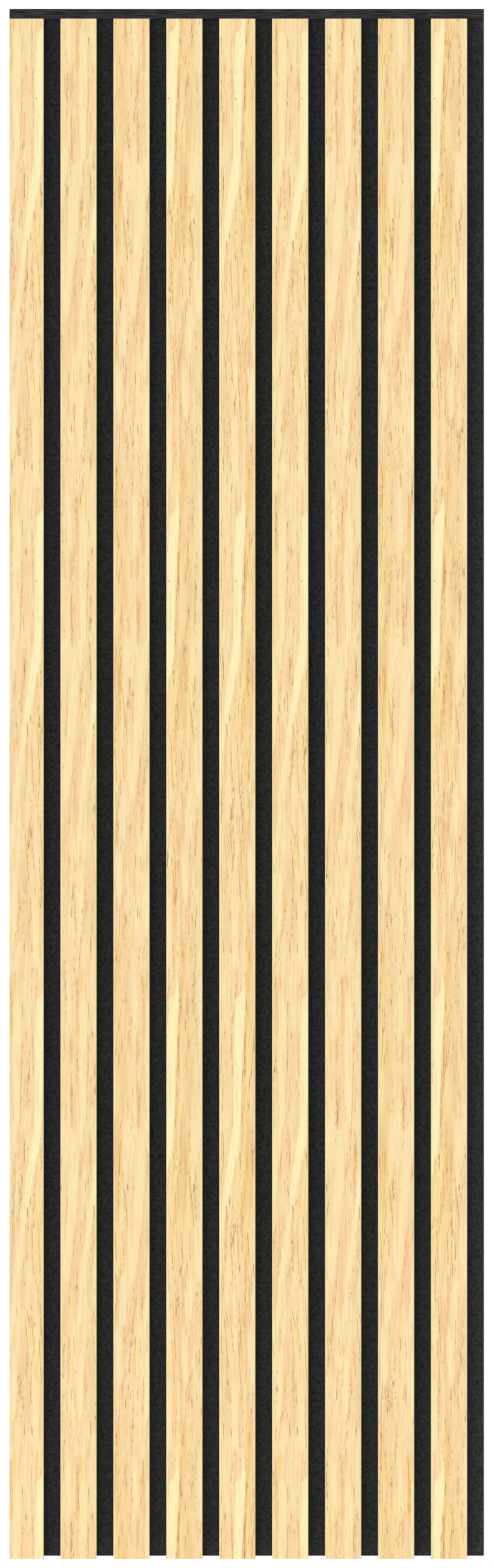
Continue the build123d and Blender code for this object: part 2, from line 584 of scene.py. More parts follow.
    def dusty_bands(self) -> tuple[Streak, ...]:
        """The pinkish bands between the cream ones."""
        return (
            Streak(8.0, 3, 58, 1.5, lean=0.2, soft=0.8, end_soft=14, strength=0.65),
            Streak(7.6, 58, 72, 1.6, lean=-1.2, soft=1.0, end_soft=14, strength=0.5),
            Streak(20.6, 46, 68, 2.2, lean=0.4, soft=1.0, end_soft=14, strength=0.5),
            Streak(28.8, 1, 26, 0.9, lean=-0.8, soft=0.5, end_soft=3, strength=0.8),
            Streak(14.4, 122, 44, 1.0, lean=-2.0, soft=0.7, end_soft=10, strength=0.65),
            Streak(11.8, 148, 20, 0.8, lean=-0.6, soft=0.5, end_soft=5, strength=0.75),
            Streak(14.4, 188, 34, 0.7, lean=-1.4, soft=0.5, end_soft=8, strength=0.75),
            Streak(7.6, 198, 54, 0.9, lean=-5.6, soft=0.6, end_soft=8, strength=0.85),
            Streak(8.6, 206, 60, 2.2, lean=-1.6, soft=1.2, end_soft=12, strength=0.7),
            Streak(46.4, 202, 46, 1.2, lean=1.0, soft=0.7, end_soft=10, strength=0.65),
            Streak(35.6, 206, 44, 1.4, lean=-0.4, soft=1.0, end_soft=12, strength=0.5),
            Streak(6.4, 242, 36, 1.2, lean=-0.8, soft=0.6, end_soft=8, strength=0.85),
            Streak(1.0, 244, 32, 1.0, lean=0.2, soft=0.6, end_soft=8, strength=0.75),
            Streak(37.1, 260, 56, 1.0, lean=-0.7, soft=0.5, end_soft=9, strength=0.95),
            Streak(49.6, 260, 40, 0.9, lean=-3.2, soft=0.6, end_soft=9, strength=0.85),
            Streak(18.9, 283, 48, 0.9, lean=-5.8, soft=0.6, end_soft=9, strength=0.85),
            Streak(44.8, 294, 50, 1.2, lean=-1.8, soft=0.7, end_soft=10, strength=0.65),
            Streak(19.2, 344, 40, 0.9, lean=-1.6, soft=0.6, end_soft=8, strength=0.7),
            Streak(39.6, 344, 40, 1.4, lean=-0.8, soft=0.9, end_soft=9, strength=0.65),
            Streak(24.6, 244, 36, 1.4, lean=0.6, soft=0.9, end_soft=10, strength=0.5),
            Streak(31.6, 330, 44, 1.2, lean=0.2, soft=0.8, end_soft=10, strength=0.5),
        )

    def dull_bands(self) -> tuple[Streak, ...]:
        """The greyish bands."""
        return (
            Streak(46.4, 0, 40, 1.3, soft=0.9, end_soft=6, strength=0.7),
            Streak(44.6, 54, 66, 1.4, lean=-1.4, soft=0.9, end_soft=12, strength=0.65),
            Streak(38.6, 114, 40, 2.0, lean=1.0, soft=1.2, end_soft=12, strength=0.5),
            Streak(21.0, 300, 66, 1.6, lean=0.5, soft=1.0, end_soft=14, strength=0.55),
            Streak(16.6, 236, 30, 0.9, lean=0.4, soft=0.7, end_soft=8, strength=0.6),
            Streak(1.0, 296, 26, 0.9, lean=0.2, soft=0.7, end_soft=6, strength=0.6),
        )

    def bright_sides(self) -> tuple[tuple[Pair, ...], tuple[Pair, ...]]:
        """The bright streak's left and right side, as places down and across the leaf.

        Returns:
            The points of the left side and of the right side.
        """
        left = (
            (5, 34.4), (18, 33.4), (24, 30.6), (27, 27.6), (42, 26.9), (92, 26.6), (116, 25.7),
            (132, 24.6), (150, 22.3), (160, 20.6), (175, 18.9), (188, 17.4), (203, 16.4), (212, 17.4),
        )
        right = (
            (5, 34.8), (20, 36.0), (36, 35.5), (48, 34.3), (62, 33.4), (92, 32.6), (126, 31.5), (142, 30.2),
            (152, 28.6), (160, 27.0), (168, 25.0), (178, 23.6), (190, 21.4), (203, 19.2), (212, 17.0),
        )
        return left, right

    def pin_knot(self) -> Streak:
        """The small dark knot in the bright streak."""
        return Streak(28.0, 75.8, 1.0, half_width=0.25, soft=0.5, strength=0.85)

    def vessel_lines(self) -> tuple[Streak, ...]:
        """The dark lines and dashes of the grain."""
        return (
            Streak(24.5, 12, 40, lean=0.3, strength=0.6),
            Streak(24.9, 52, 34, lean=0.9, strength=0.7),
            Streak(25.7, 94, 32, strength=0.5),
            Streak(17.0, 27, 18, half_width=0.3, lean=0.4, strength=0.85),
            Streak(17.2, 57, 30, lean=-0.7, strength=0.8),
            Streak(16.4, 84, 42, lean=-1.2, strength=0.6),
            Streak(18.8, 84, 32, lean=-0.7, strength=0.6),
            Streak(20.0, 50, 7, half_width=0.4, lean=0.2, strength=0.85),
            Streak(8.0, 8, 30, lean=0.2, strength=0.7),
            Streak(3.4, 55, 24, strength=0.6),
            Streak(3.5, 84, 44, lean=0.8, strength=0.65),
            Streak(5.3, 48, 26, lean=-0.2, strength=0.5),
            Streak(6.4, 94, 20, strength=0.6),
            Streak(10.2, 107, 15, strength=0.5),
            Streak(49.2, 54, 22, lean=1.4, strength=0.6),
            Streak(33.8, 80, 24, lean=-0.2, strength=0.8),
            Streak(33.2, 102, 26, half_width=0.3, lean=-0.2, strength=0.8),
            Streak(36.4, 24, 14, half_width=0.3, lean=0.4, strength=0.9),
            Streak(35.4, 4, 14, lean=0.4, strength=0.6),
            Streak(35.2, 52, 36, half_width=0.4, lean=-0.2, strength=0.75),
            Streak(40.6, 40, 12, lean=-0.2, strength=0.8),
            Streak(42.8, 55, 13, lean=-0.2, strength=0.8),
            Streak(40.9, 66, 12, lean=-0.4, strength=0.75),
            Streak(46.2, 12, 6, half_width=0.4, strength=1.0),
            Streak(46.2, 25, 7, half_width=0.45, strength=1.0),
            Streak(44.0, 25, 5, strength=0.8),
            Streak(18.7, 133, 20, half_width=0.35, lean=0.1, strength=0.9),
            Streak(12.2, 143, 24, lean=-1.4, strength=0.65),
            Streak(16.9, 162, 16, half_width=0.3, lean=-0.2, strength=0.75),
            Streak(14.7, 166, 12, half_width=0.3, lean=0.1, strength=0.7),
            Streak(31.7, 144, 16, half_width=0.35, lean=0.1, strength=0.8),
            Streak(37.0, 146, 16, half_width=0.3, strength=0.7),
            Streak(41.4, 142, 22, lean=-0.4, strength=0.7),
            Streak(43.4, 158, 22, lean=1.3, strength=0.65),
            Streak(45.2, 176, 28, half_width=0.3, lean=2.3, strength=0.95),
            Streak(47.0, 167, 7, half_width=0.45, lean=0.3, strength=1.0),
            Streak(23.5, 179, 8, half_width=0.4, lean=0.3, strength=0.9),
            Streak(21.1, 186, 12, half_width=0.42, lean=0.4, strength=1.0),
            Streak(33.1, 170, 32, lean=0.2, strength=0.65),
            Streak(34.8, 160, 24, lean=0.2, strength=0.6),
            Streak(10.9, 197, 20, lean=0.1, strength=0.5),
            Streak(13.0, 186, 18, lean=-0.1, strength=0.55),
            Streak(19.5, 199, 34, half_width=0.2, lean=0.5, strength=0.6),
            Streak(21.0, 200, 32, half_width=0.2, lean=0.1, strength=0.65),
            Streak(24.2, 200, 42, lean=1.7, strength=0.7),
            Streak(29.2, 194, 44, lean=1.9, strength=0.75),
            Streak(37.4, 205, 28, lean=1.6, strength=0.75),
            Streak(43.2, 204, 26, lean=1.3, strength=0.75),
            Streak(31.4, 188, 20, lean=0.2, strength=0.55),
            Streak(42.2, 230, 11, half_width=0.35, lean=-0.3, strength=0.9),
            Streak(40.6, 232, 22, lean=0.1, strength=0.65),
            Streak(18.2, 225, 24, lean=0.3, strength=0.55),
            Streak(27.2, 228, 24, lean=0.4, strength=0.55),
            Streak(6.6, 204, 34, lean=-2.6, strength=0.6),
            Streak(3.6, 240, 24, lean=-1.2, strength=0.55),
            Streak(38.3, 238, 30, lean=0.5, strength=0.65),
            Streak(19.9, 264, 18, lean=3.5, strength=0.95),
            Streak(19.3, 271, 40, lean=3.1, strength=0.8),
            Streak(24.0, 270, 32, lean=2.6, strength=0.7),
            Streak(30.6, 256, 54, lean=3.0, strength=0.8),
            Streak(30.0, 289, 36, lean=2.1, strength=0.95),
            Streak(33.0, 257, 32, lean=1.8, strength=0.6),
            Streak(28.8, 246, 22, lean=0.4, strength=0.55),
            Streak(5.3, 286, 18, lean=1.4, strength=0.75),
            Streak(1.7, 286, 12, half_width=0.3, lean=0.2, strength=0.95),
            Streak(10.5, 276, 24, lean=0.1, strength=0.5),
            Streak(16.5, 321, 18, lean=-2.0, strength=0.95),
            Streak(15.6, 315, 57, half_width=0.2, lean=-6.0, strength=0.6),
            Streak(44.5, 274, 30, lean=-0.8, strength=0.6),
            Streak(49.2, 299, 16, lean=0.1, strength=0.6),
            Streak(46.2, 310, 12, lean=-0.2, strength=0.6),
            Streak(45.8, 333, 12, half_width=0.35, strength=0.9),
            Streak(41.3, 324, 28, half_width=0.2, lean=-0.2, strength=0.65),
            Streak(43.4, 318, 14, half_width=0.35, lean=-0.3, strength=0.6),
            Streak(3.7, 327, 11, half_width=0.3, strength=0.85),
            Streak(49.4, 328, 10, strength=0.7),
            Streak(23.6, 322, 18, half_width=0.3, lean=0.3, strength=0.7),
            Streak(18.6, 352, 12, half_width=0.35, strength=0.9),
            Streak(24.7, 357, 9, half_width=0.35, strength=0.9),
            Streak(17.0, 346, 6, half_width=0.35, lean=-0.4, strength=0.8),
            Streak(38.5, 360, 13, half_width=0.35, lean=0.2, strength=0.95),
            Streak(36.4, 350, 14, strength=0.6),
            Streak(30.6, 352, 18, lean=0.3, strength=0.55),
            Streak(7.5, 356, 16, strength=0.5),
            Streak(36.6, 304, 20, lean=-0.2, strength=0.55),
        )


@dataclass(frozen=True)
class Grain:
    """A material's places across and along the grain, in millimetres."""

    made: Finish
    across: Feed
    along: Feed

    def noise(self, size: Pair, detail: float, output: str = "Fac") -> bpy.types.NodeSocket:
        """Cloudy values about 0.5 that are drawn out along the grain.

        Args:
            size: how wide and how long the clouds are.
            detail: how many finer layers there are.
            output: Fac for one value, or Color for three that don't go together.

        Returns:
            The socket of the value or of the three.
        """
        width, length = size
        across = self.made.sum("DIVIDE", self.across, width)
        along = self.made.sum("DIVIDE", self.along, length)
        return self.made.noise(self.made.vector(across, along), detail, output=output)

    def cover(self, leaf: VeneerLeaf, streaks: Sequence[Streak]) -> bpy.types.NodeSocket:
        """How far a point lies in any of some streaks, which are worked out three at a time.

        Args:
            leaf: the leaf that they lie on.
            streaks: the streaks.

        Returns:
            The mask, below 0 outside them all.
        """
        made = self.made
        group = bpy.data.node_groups.get(TRIO_GROUP) or leaf.trio_group()
        across, along = (made.vector(place, place, place) for place in (self.across, self.along))
        placed = [place for streak in streaks for place in leaf.repeats(streak)]
        placed += [NO_STREAK] * (-len(placed) % 3)
        total = None
        for first in range(0, len(placed), 3):
            trio = [streak.sockets() for streak in placed[first:first + 3]]
            inputs = {name: tuple(values[name] for values in trio) for name in trio[0]}
            masks = made.place(group, Across=across, Along=along, **inputs)["Masks"]
            total = made.sums("MAXIMUM", total, masks) if total else masks
        x, y, z = made.parts(total)
        return made.sum("MAXIMUM", made.sum("MAXIMUM", x, y), z)


@dataclass(frozen=True)
class Cloud:
    """Soft streaks on the leaf, in millimetres. The seed sets them apart from others of the same size."""

    width: float
    length: float
    detail: float
    seed: float


@dataclass(frozen=True)
class VeneerFinish:
    """Pale figured wood with a thin clear finish. Its sizes are in millimetres."""

    name: str = "pale_wood"
    leaf: VeneerLeaf = VeneerLeaf()
    figure: LeafFigure = LeafFigure()
    tan: Tint = Tint(244.5, 210, 155)
    body: Tint = Tint(247.5, 219, 168.5)
    cream: Tint = Tint(250.5, 231, 177)
    bright: Tint = Tint(250.5, 241.5, 188)
    brown: Tint = Tint(231.5, 188, 129.5)
    orange: Tint = Tint(248, 199, 126)
    dusty: Tint = Tint(247, 204, 153)
    dull: Tint = Tint(236, 207, 156)
    vessel: Tint = Tint(204, 132, 60)
    grey_vessel: Tint = Tint(144, 113, 73)
    pin_knot: Tint = Tint(96, 74, 52)
    end_grain: Tint = Tint(220, 180, 122)
    ring: Tint = Tint(184, 136, 80)
    ochre_glaze: tuple[float, float, float, float] = (1.0, 0.95, 0.73, 1.0)
    tinge: tuple[float, float, float] = (0.09, 0.2, 0.26)
    drift: Cloud = Cloud(9.0, 60.0, 1.0, 3.0)
    fray: Cloud = Cloud(0.8, 9.0, 2.0, 11.0)
    sway: Cloud = Cloud(12.0, 80.0, 0.0, 57.0)
    broad: Cloud = Cloud(5.0, 85.0, 2.0, 23.0)
    ochre: Cloud = Cloud(0.9, 24.0, 1.0, 71.0)
    fine: Cloud = Cloud(1.1, 36.0, 3.0, 41.0)
    body_share: float = 0.5
    fray_along: float = 6.0
    line_fray: float = 0.5
    sway_reach: float = 9.0
    slant: float = 9.0
    fibre_size: Pair = (0.45, 5.0)
    fibre_shade: float = 0.26
    dash_size: Pair = (0.5, 5.5)
    crowd_size: Pair = (3.2, 42.0)
    crowding: float = 0.5
    pale_clearing: float = 0.22
    break_size: Pair = (0.7, 3.0)
    grey_size: Pair = (1.0, 9.0)
    tinge_size: Pair = (1.6, 16.0)
    bright_fade: Pair = (150.0, 205.0)
    bright_strength: Pair = (0.85, 0.56)
    knot_fade: Pair = (300.0, 1100.0)
    lowest_knot: float = 0.2
    ring_width: float = 2.3
    pith_depth: float = 44.0
    pore_depth: float = 0.12

    def material(self) -> bpy.types.Material:
        """Builds the finish.

        Returns:
            The material of the slats.
        """
        made = Finish(self.name)
        places = made.place(self.leaf.place_group(), Position=made.position)
        across, along, whole_across, whole_along = places
        clouds = self.leaf.cloud_group()

        def cloud(kind: Cloud) -> bpy.types.NodeSocket:
            """Soft streaks of that kind."""
            return made.place(clouds, Across=across, Along=along, Streak_Width=kind.width,
                              Streak_Length=kind.length, Detail=kind.detail, Seed=kind.seed)["Value"]

        drift = made.sum("MULTIPLY_ADD", cloud(self.drift), 2.0, -1.0)
        fray = made.sum("MULTIPLY_ADD", cloud(self.fray), 2.0, -1.0)
        ragged = made.sum("MULTIPLY_ADD", fray, self.fray_along, along)
        bent = made.sum("ADD", made.sum("ADD", across, drift), fray)
        swayed = made.sum("MULTIPLY_ADD", cloud(self.sway), self.sway_reach, whole_across)
        frayed = made.sum("MULTIPLY_ADD", fray, self.fray_along, whole_along)
        slanted = made.sum("MULTIPLY_ADD", whole_across, self.slant, frayed)
        on_leaf = Grain(made, bent, ragged)
        on_panel = Grain(made, swayed, slanted)

        colour = made.mix(made.rise(cloud(self.broad), 0.36, 0.64), self.tan.paint(), self.cream.paint())
        colour = made.mix(self.body_share, colour, self.body.paint())
        colour, pale = self.paint_bands(on_leaf, colour)
        warm = self.warmth(on_leaf, cloud(self.ochre))
        colour = made.mix(warm, colour, self.ochre_glaze, "MULTIPLY")
        bright = self.bright_mask(Grain(made, made.sum("ADD", across, fray), along))
        colour = made.mix(bright, colour, self.bright.paint())
        fine = cloud(self.fine)
        colour = made.mix(made.rise(fine, 0.28, 0.52, 0.5, 0.0), colour, self.brown.paint())
        colour = made.mix(made.rise(fine, 0.52, 0.74, 0.0, 0.5), colour, self.cream.paint())
        fibre = on_panel.noise(self.fibre_size, 2.0)
        shade = made.sum("MULTIPLY_ADD", fibre, self.fibre_shade, 1 - self.fibre_shade / 2)
        colour = made.mix(1.0, colour, made.grey(shade), "MULTIPLY")

        on_lines = Grain(made, made.sum("MULTIPLY_ADD", fray, self.line_fray, across), ragged)
        lines = on_lines.cover(self.leaf, self.figure.vessel_lines())
        dashes = self.dashes(on_panel, made.sum("MAXIMUM", bright, pale))
        vessels = made.sum("MAXIMUM", dashes, made.sum("MULTIPLY", lines, self.breaks(on_panel)))
        colour = made.mix(made.rise(vessels, 0.05, 0.45, 0.0, 0.5), colour, self.orange.paint())
        core = made.rise(vessels, 0.32, 0.9, 0.0, 0.85)
        greyed = made.rise(on_panel.noise(self.grey_size, 0.0), 0.4, 0.6)
        colour = made.mix(core, colour, made.mix(greyed, self.vessel.paint(), self.grey_vessel.paint()))
        colour = made.mix(1.0, colour, self.tinges(on_panel), "MULTIPLY")
        knot = self.knot_mask(Grain(made, across, along), whole_along)
        colour = made.mix(knot, colour, self.pin_knot.paint())
        colour = self.paint_edges(made, colour, across)
        made.feed(made.shader["Base Color"], colour)
        made.feed(made.shader["Roughness"], made.sum("MULTIPLY_ADD", core, 0.2, 0.55))
        made.shader["Specular IOR Level"].default_value = 0.25
        made.bump(fibre, self.pore_depth * MM, 0.2)
        return made.material

    def paint_bands(self, grain: Grain, colour: Feed) -> tuple[bpy.types.NodeSocket, bpy.types.NodeSocket]:
        """Paints the broad bands of the figure.

        Args:
            grain: the places on the leaf.
            colour: the colour beneath.

        Returns:
            The new colour, and how far the point lies in a pale band.
        """
        figure = self.figure
        pale = grain.cover(self.leaf, figure.cream_bands())
        colour = grain.made.mix(pale, colour, self.cream.paint())
        for tint, bands in (
            (self.dull, figure.dull_bands()),
            (self.dusty, figure.dusty_bands()),
            (self.brown, figure.brown_bands()),
        ):
            colour = grain.made.mix(grain.cover(self.leaf, bands), colour, tint.paint())
        return colour, pale

    def warmth(self, grain: Grain, streaky: Feed) -> bpy.types.NodeSocket:
        """How much ochre the wood holds at a point.

        Args:
            grain: the places on the leaf.
            streaky: fine soft streaks on the leaf, about 0.5.

        Returns:
            The mask, 0 or below where there is none.
        """
        made = grain.made
        areas = grain.cover(self.leaf, self.figure.warm_areas())
        fine = made.sum("MULTIPLY", areas, made.rise(streaky, 0.46, 0.6))
        return made.sum("MAXIMUM", fine, grain.cover(self.leaf, self.figure.orange_bands()))

    def tinges(self, grain: Grain) -> bpy.types.NodeSocket:
        """The colour that the wood is multiplied by, which shifts from one bundle of fibres to the next."""
        clouds = grain.noise(self.tinge_size, 1.0, "Color")
        return grain.made.sums("MULTIPLY_ADD", clouds, self.tinge, tuple(1 - hue / 2 for hue in self.tinge))

    def breaks(self, grain: Grain) -> bpy.types.NodeSocket:
        """How strong the figure's dark lines are at a point, which breaks them up into dashes."""
        return grain.made.rise(grain.noise(self.break_size, 1.0), 0.30, 0.62, 0.35, 1.15)

    def bright_mask(self, grain: Grain) -> bpy.types.NodeSocket:
        """How far a point lies in the bright streak.

        Args:
            grain: the places on the leaf.

        Returns:
            The mask.
        """
        made, leaf = grain.made, self.leaf
        share = made.sum("DIVIDE", grain.along, leaf.length)
        left, right = (
            made.curve(share, [(down / leaf.length, place / leaf.width) for down, place in side])
            for side in self.figure.bright_sides()
        )
        from_left = made.sum("MULTIPLY_ADD", left, -leaf.width, grain.across)
        from_right = made.sum("MULTIPLY_ADD", right, -leaf.width, grain.across)
        inside = made.rise(from_left, -0.7, 1.1)
        outside = made.rise(from_right, -0.5, 0.3)
        mask = made.sum("SUBTRACT", inside, outside, clamp=True)
        return made.sum("MULTIPLY", mask, made.rise(grain.along, *self.bright_fade, *self.bright_strength))

    def dashes(self, grain: Grain, pale: Feed) -> bpy.types.NodeSocket:
        """Fine broken lines along the grain, thick in some places and rare in the pale bands.

        Args:
            grain: the places on the panel.
            pale: how far the point lies in a pale band.

        Returns:
            The mask of the lines.
        """
        made = grain.made
        line = grain.noise(self.dash_size, 2.0)
        crowd = grain.noise(self.crowd_size, 0.0)
        extra = made.sum("MULTIPLY_ADD", crowd, self.crowding, -self.crowding / 2)
        clear = made.sum("MULTIPLY", made.sum("MAXIMUM", pale, 0.0), self.pale_clearing)
        level = made.sum("SUBTRACT", made.sum("ADD", line, extra), clear)
        return made.rise(level, 0.63, 0.8, 0.0, 0.9)

    def knot_mask(self, grain: Grain, down: Feed) -> bpy.types.NodeSocket:
        """How far a point lies in the pin knot, which is fainter low on the panel.

        Args:
            grain: the places on the leaf.
            down: the place down the panel.

        Returns:
            The mask.
        """
        made, knot = grain.made, self.figure.pin_knot()
        away = made.distance(made.vector(grain.across, grain.along), (knot.across, knot.middle, 0.0))
        mask = made.rise(away, knot.half_width, knot.half_width + knot.soft, knot.strength, 0.0)
        return made.sum("MULTIPLY", mask, made.rise(down, *self.knot_fade, 1.0, self.lowest_knot))

    def paint_edges(self, made: Finish, colour: Feed, across: Feed) -> bpy.types.NodeSocket:
        """Paints a highlight on the long front edges, and shows the growth rings on the sawn ends.

        Args:
            made: the material.
            colour: the colour of the long sides.
            across: the place across the leaf.

        Returns:
            The new colour.
        """
        x, y, z = made.parts(made.node("ShaderNodeNewGeometry").outputs["Normal"])
        # Painted highlight: the long front arrises are paled towards the bright tint. This stands in for
        # light falling on them.
        front = made.rise(y, -0.3, -0.1, 1.0, 0.0)
        painted_arris_highlight = made.sum("MULTIPLY", made.rise(made.sum("ABSOLUTE", x), 0.1, 0.4, 0.0, 0.8), front)
        colour = made.mix(painted_arris_highlight, colour, self.bright.paint())
        depth = made.sum("DIVIDE", made.sum("SUBTRACT", made.parts(made.position)[1], SLAT_FRONT), MM)
        from_pith = made.distance(made.vector(across, depth), (self.leaf.width / 2, self.pith_depth, 0.0))
        rings = made.sum("SINE", made.sum("MULTIPLY", from_pith, math.tau / self.ring_width))
        ringed = made.mix(made.rise(rings, -0.2, 1.0, 0.0, 0.7), self.end_grain.paint(), self.ring.paint())
        end = made.rise(made.sum("ABSOLUTE", z), 0.6, 0.8, 0.0, 0.85)
        return made.mix(end, colour, ringed)


@dataclass(frozen=True)
class FeltFinish:
    """Dark pressed felt: a fine fleck and paler curled fibres, with painted light that pales the front under
    the rail and towards the foot.
    """

    name: str = "dark_felt"
    dark: Tint = Tint(20.0, 21.1, 22.4)
    light: Tint = Tint(54.8, 57.0, 59.4)
    curl: Tint = Tint(74.0, 75.6, 78.0)
    light_in_gap: float = 1.24
    fleck: float = 0.9 * MM
    blotch: float = 3.0 * MM
    fleck_share: float = 0.54
    curl_size: float = 2.4 * MM
    curl_strength: float = 0.32
    # Painted light: how far and how much the front is paled under the rail, at the foot and over the lower
    # part.
    rail_reach: float = 14.0 * MM
    rail_painted_light: float = 0.6
    foot_reach: float = 22.0 * MM
    foot_painted_light: float = 0.25
    low_reach: float = 400.0 * MM
    low_painted_light: float = 0.1

    def material(self) -> bpy.types.Material:
        """Builds the finish.

        Returns:
            The material of the felt.
        """
        made = Finish(self.name)
        fleck = made.noise(self.counted(made, self.fleck), 2.0, "3D")
        blotch = made.noise(self.counted(made, self.blotch), 2.0, "3D")
        blotched = made.sum("MULTIPLY", blotch, 1 - self.fleck_share)
        both = made.sum("ADD", made.sum("MULTIPLY", fleck, self.fleck_share), blotched)
        share = made.rise(both, 0.28, 0.74)
        colour = made.mix(share, self.dark.paint(self.light_in_gap), self.light.paint(self.light_in_gap))
        for size, half_width in ((self.curl_size, 0.03), (0.55 * self.curl_size, 0.05)):
            curl = made.noise(self.counted(made, size), 1.0, "3D")
            ridge = made.sum("ABSOLUTE", made.sum("SUBTRACT", curl, 0.5))
            thread = made.rise(ridge, 0.0, half_width, self.curl_strength, 0.0)
            colour = made.mix(thread, colour, self.curl.paint(self.light_in_gap))
        # Painted light: the front is paled under the rail and towards the foot, against the shade there.
        colour = made.mix(1.0, colour, made.grey(self.painted_light_factor(made)), "MULTIPLY")
        made.feed(made.shader["Base Color"], colour)
        made.shader["Roughness"].default_value = 1.0
        made.shader["Specular IOR Level"].default_value = 0.0
        made.bump(fleck, 0.3 * MM, 0.4)
        return made.material

    def painted_light_factor(self, made: Finish) -> bpy.types.NodeSocket:
        """Painted light: how much paler the front is painted under the rail and towards the foot, where the
        rail and the floor shade it.

        Args:
            made: the material.

        Returns:
            The number that the colour is multiplied by.
        """
        x, y, z = made.parts(made.position)
        total = made.rise(z, RAIL_LOW.z - self.rail_reach, RAIL_LOW.z, 0.0, self.rail_painted_light)
        for reach, painted_lift in ((self.foot_reach, self.foot_painted_light), (self.low_reach, self.low_painted_light)):
            total = made.sum("ADD", total, made.rise(z, FELT_LOW.z, FELT_LOW.z + reach, painted_lift, 0.0))
        front = made.rise(y, FELT_LOW.y + 0.3 * MM, FELT_LOW.y + MM, 1.0, 0.0)
        return made.sum("MULTIPLY_ADD", total, front, 1.0)

    @staticmethod
    def counted(made: Finish, size: float) -> bpy.types.NodeSocket:
        """The place on the felt, counted in clouds of that size."""
        return made.scaled(made.position, 1.0 / size)


@dataclass(frozen=True)
class RailFinish:
    """Wood stained nearly black, with its grain along the rail."""

    name: str = "dark_stained_wood"
    dark: Tint = Tint(19, 19, 19.5)
    light: Tint = Tint(58, 58, 58)
    grain_length: float = 14 * MM
    grain_width: float = MM

    def material(self) -> bpy.types.Material:
        """Builds the finish.

        Returns:
            The material of the rail.
        """
        made = Finish(self.name)
        x, y, z = made.parts(made.position)
        width = self.grain_width
        steps = ((x, self.grain_length), (y, width), (z, width))
        place = made.vector(*(made.sum("DIVIDE", part, size) for part, size in steps))
        grain = made.noise(place, 4.0, "3D")
        colour = made.mix(made.rise(grain, 0.3, 0.7), self.dark.paint(), self.light.paint())
        made.feed(made.shader["Base Color"], colour)
        made.shader["Roughness"].default_value = 0.8
        made.shader["Specular IOR Level"].default_value = 0.1
        made.bump(grain, 0.15 * MM, 0.3)
        return made.material


@dataclass(frozen=True)
class WireFinish:
    """Galvanised staple wire."""

    name: str = "galvanised_wire"
    dull: Tint = Tint(140, 141, 140)
    bright: Tint = Tint(190, 190, 187)
    spangle_size: float = 1.5 * MM

    def material(self) -> bpy.types.Material:
        """Builds the finish.

        Returns:
            The material of the staples.
        """
        made = Finish(self.name)
        spangle = made.noise(made.scaled(made.position, 1.0 / self.spangle_size), 2.0, "3D")
        made.feed(made.shader["Base Color"], made.mix(spangle, self.dull.paint(), self.bright.paint()))
        made.shader["Metallic"].default_value = 1.0
        made.feed(made.shader["Roughness"], made.rise(spangle, 0.3, 0.7, 0.35, 0.5))
        return made.material


